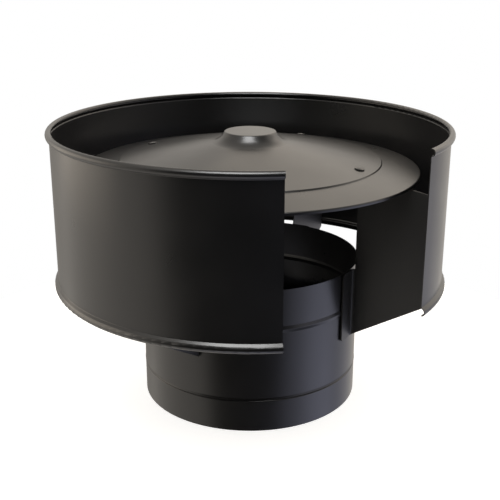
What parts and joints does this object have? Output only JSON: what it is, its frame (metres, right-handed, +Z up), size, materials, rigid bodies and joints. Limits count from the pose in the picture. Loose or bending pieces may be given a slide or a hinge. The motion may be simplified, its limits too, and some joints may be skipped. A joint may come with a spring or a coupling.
{
  "type": "flue cowl",
  "caption": "Anti-downdraught cowl for a twin wall flue: an open drum, cut away at the front, round a coned cap on brackets that stand on an insulated collar.",
  "frame": {"origin": "on the flue's axis at the collar's bottom edge", "axes": "+Z up the flue's axis, -Y towards the picture's camera, +X to its right"},
  "size_m": [0.3586, 0.3586, 0.2525],
  "materials": {
    "black_sheet": "satin black powder coat",
    "liner_steel": "plain stainless steel",
    "ring_steel": "plain stainless steel",
    "wool": "packed mineral wool"
  },
  "bodies": {
    "root": {"drum": "black_sheet", "cap": "black_sheet", "cap_rivets": "black_sheet", "casing_upper": "black_sheet", "casing_lower": "black_sheet", "liner": "liner_steel", "insulation": "wool", "closing_ring_bottom": "ring_steel", "closing_ring_top": "ring_steel", "bracket_1": "black_sheet", "bracket_2": "black_sheet", "bracket_3": "black_sheet", "bracket_4": "black_sheet"}
  },
  "joints": []
}
